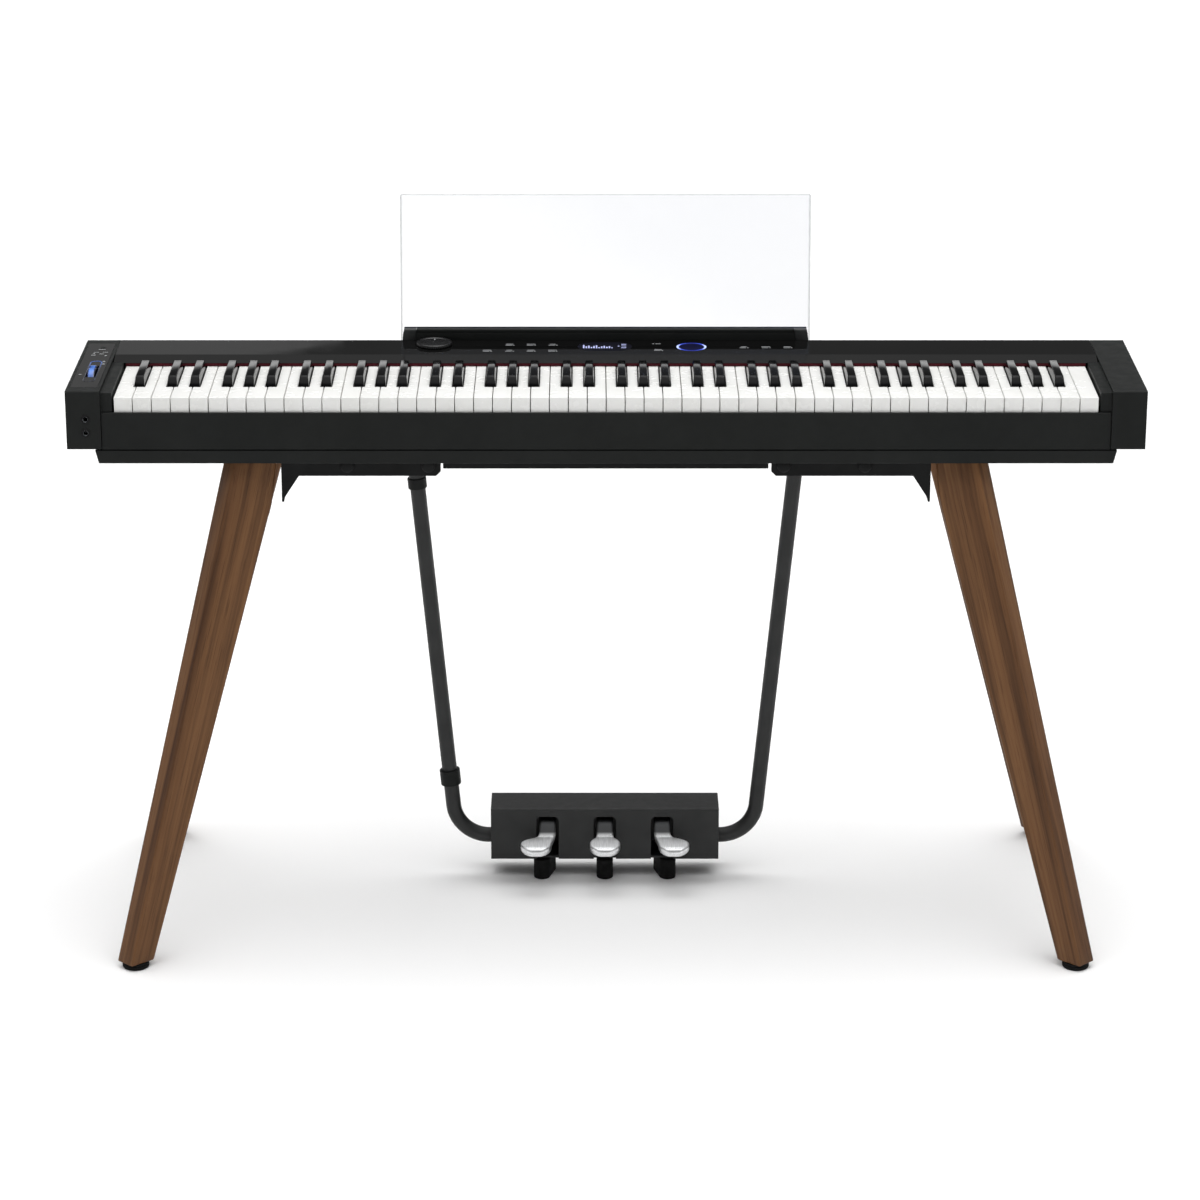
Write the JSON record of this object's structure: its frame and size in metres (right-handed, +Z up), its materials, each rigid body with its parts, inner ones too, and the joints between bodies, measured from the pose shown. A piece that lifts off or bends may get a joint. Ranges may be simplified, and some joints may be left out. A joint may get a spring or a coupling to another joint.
{
  "type": "digital piano on stand",
  "caption": "Slim digital piano with a full keyboard on a splayed wooden stand, with a clear music rest and a three-pedal unit held by two steel tubes.",
  "frame": {"origin": "on the floor, under the middle of the keyboard", "axes": "+X towards the treble end, +Y away from the player, +Z up"},
  "size_m": [1.34, 0.492, 0.913],
  "materials": {
    "case_black": "satin",
    "panel_gloss": "gloss",
    "white_key": "satin gloss",
    "black_key": "satin",
    "felt_red": "felt",
    "steel_black": "satin powder coat",
    "zinc_steel": "zinc plated",
    "board_green": "solder mask",
    "clear_acrylic": "clear",
    "glow_blue": "lit from inside",
    "walnut": "satin lacquer",
    "rubber_black": "matte",
    "chrome": "polished"
  },
  "bodies": {
    "piano": {"bass_keys": "white_key", "bottom_case": "case_black", "bracket_left": "steel_black", "bracket_right": "steel_black", "cable_clip_lower": "case_black", "cable_clip_upper": "case_black", "clamp_knob_inner_left": "steel_black", "clamp_knob_inner_right": "steel_black", "clamp_knob_outer_left": "steel_black", "clamp_knob_outer_right": "steel_black", "control_plate": "panel_gloss", "cross_bar": "steel_black", "end_cap_left": "case_black", "end_cap_right": "case_black", "felt_strip": "felt_red", "front_rail": "case_black", "glide_front_left": "rubber_black", "glide_front_right": "rubber_black", "glide_rear_left": "rubber_black", "glide_rear_right": "rubber_black", "headphone_jack_lower": "panel_gloss", "headphone_jack_upper": "panel_gloss", "key_chassis": "zinc_steel", "leg_front_left": "walnut", "leg_front_right": "walnut", "leg_rear_left": "walnut", "leg_rear_right": "walnut", "main_board": "board_green", "music_rest_ledge": "case_black", "pedal_box": "case_black", "pedal_foot_left": "rubber_black", "pedal_foot_middle": "rubber_black", "pedal_foot_right": "rubber_black", "pedal_tube_left": "steel_black", "pedal_tube_right": "steel_black", "power_inlet": "panel_gloss", "rear_panel": "case_black", "speaker_left": "steel_black", "speaker_right": "steel_black", "top_panel": "panel_gloss", "treble_keys": "white_key"},
    "key_c4": {"key_c4": "white_key"},
    "key_cs4": {"key_cs4": "black_key"},
    "key_d4": {"key_d4": "white_key"},
    "key_ds4": {"key_ds4": "black_key"},
    "key_e4": {"key_e4": "white_key"},
    "key_f4": {"key_f4": "white_key"},
    "key_fs4": {"key_fs4": "black_key"},
    "key_g4": {"key_g4": "white_key"},
    "key_gs4": {"key_gs4": "black_key"},
    "key_a4": {"key_a4": "white_key"},
    "key_as4": {"key_as4": "black_key"},
    "key_b4": {"key_b4": "white_key"},
    "pedal_left": {"pedal_left": "chrome"},
    "pedal_middle": {"pedal_middle": "chrome"},
    "pedal_right": {"pedal_right": "chrome"},
    "volume_knob": {"volume_knob": "panel_gloss"},
    "pitch_wheel": {"pitch_wheel": "glow_blue"},
    "power_button": {"power_button": "case_black"},
    "music_rest": {"music_rest": "clear_acrylic"}
  },
  "joints": [
    {"name": "key_c4_hinge", "type": "hinge", "parent": "piano", "child": "key_c4", "pos_m": [0, 0.052, 0.701], "axis": [1, 0, 0], "range_deg": [0, 3.45], "stiffness_Nm_per_rad": 1, "springref_deg": -8.02},
    {"name": "key_cs4_hinge", "type": "hinge", "parent": "piano", "child": "key_cs4", "pos_m": [0, 0.052, 0.701], "axis": [1, 0, 0], "range_deg": [0, 3.45], "stiffness_Nm_per_rad": 1, "springref_deg": -8.02},
    {"name": "key_d4_hinge", "type": "hinge", "parent": "piano", "child": "key_d4", "pos_m": [0, 0.052, 0.701], "axis": [1, 0, 0], "range_deg": [0, 3.45], "stiffness_Nm_per_rad": 1, "springref_deg": -8.02},
    {"name": "key_ds4_hinge", "type": "hinge", "parent": "piano", "child": "key_ds4", "pos_m": [0, 0.052, 0.701], "axis": [1, 0, 0], "range_deg": [0, 3.45], "stiffness_Nm_per_rad": 1, "springref_deg": -8.02},
    {"name": "key_e4_hinge", "type": "hinge", "parent": "piano", "child": "key_e4", "pos_m": [0, 0.052, 0.701], "axis": [1, 0, 0], "range_deg": [0, 3.45], "stiffness_Nm_per_rad": 1, "springref_deg": -8.02},
    {"name": "key_f4_hinge", "type": "hinge", "parent": "piano", "child": "key_f4", "pos_m": [0, 0.052, 0.701], "axis": [1, 0, 0], "range_deg": [0, 3.45], "stiffness_Nm_per_rad": 1, "springref_deg": -8.02},
    {"name": "key_fs4_hinge", "type": "hinge", "parent": "piano", "child": "key_fs4", "pos_m": [0, 0.052, 0.701], "axis": [1, 0, 0], "range_deg": [0, 3.45], "stiffness_Nm_per_rad": 1, "springref_deg": -8.02},
    {"name": "key_g4_hinge", "type": "hinge", "parent": "piano", "child": "key_g4", "pos_m": [0, 0.052, 0.701], "axis": [1, 0, 0], "range_deg": [0, 3.45], "stiffness_Nm_per_rad": 1, "springref_deg": -8.02},
    {"name": "key_gs4_hinge", "type": "hinge", "parent": "piano", "child": "key_gs4", "pos_m": [0, 0.052, 0.701], "axis": [1, 0, 0], "range_deg": [0, 3.45], "stiffness_Nm_per_rad": 1, "springref_deg": -8.02},
    {"name": "key_a4_hinge", "type": "hinge", "parent": "piano", "child": "key_a4", "pos_m": [0, 0.052, 0.701], "axis": [1, 0, 0], "range_deg": [0, 3.45], "stiffness_Nm_per_rad": 1, "springref_deg": -8.02},
    {"name": "key_as4_hinge", "type": "hinge", "parent": "piano", "child": "key_as4", "pos_m": [0, 0.052, 0.701], "axis": [1, 0, 0], "range_deg": [0, 3.45], "stiffness_Nm_per_rad": 1, "springref_deg": -8.02},
    {"name": "key_b4_hinge", "type": "hinge", "parent": "piano", "child": "key_b4", "pos_m": [0, 0.052, 0.701], "axis": [1, 0, 0], "range_deg": [0, 3.45], "stiffness_Nm_per_rad": 1, "springref_deg": -8.02},
    {"name": "pedal_left_hinge", "type": "hinge", "parent": "piano", "child": "pedal_left", "pos_m": [0, 0.104, 0.076], "axis": [1, 0, 0], "range_deg": [0, 9], "stiffness_Nm_per_rad": 8, "springref_deg": -4.58},
    {"name": "pedal_middle_hinge", "type": "hinge", "parent": "piano", "child": "pedal_middle", "pos_m": [0, 0.104, 0.076], "axis": [1, 0, 0], "range_deg": [0, 9], "stiffness_Nm_per_rad": 8, "springref_deg": -4.58},
    {"name": "pedal_right_hinge", "type": "hinge", "parent": "piano", "child": "pedal_right", "pos_m": [0, 0.104, 0.076], "axis": [1, 0, 0], "range_deg": [0, 9], "stiffness_Nm_per_rad": 8, "springref_deg": -4.58},
    {"name": "volume_turn", "type": "hinge", "parent": "piano", "child": "volume_knob", "pos_m": [-0.2204, 0.095, 0.73], "axis": [0, 0, 1], "range_deg": [-135, 135]},
    {"name": "pitch_wheel_turn", "type": "hinge", "parent": "piano", "child": "pitch_wheel", "pos_m": [-0.646, -0.03, 0.706], "axis": [1, 0, 0], "range_deg": [-35, 35], "stiffness_Nm_per_rad": 0.06},
    {"name": "power_press", "type": "slide", "parent": "piano", "child": "power_button", "axis": [0, 0, -1], "range_m": [0, 0.0012], "stiffness_N_per_m": 800, "springref_m": -0.001},
    {"name": "music_rest_lift", "type": "slide", "parent": "piano", "child": "music_rest", "axis": [0, 0.1822, 0.9833], "range_m": [0, 0.03]}
  ]
}
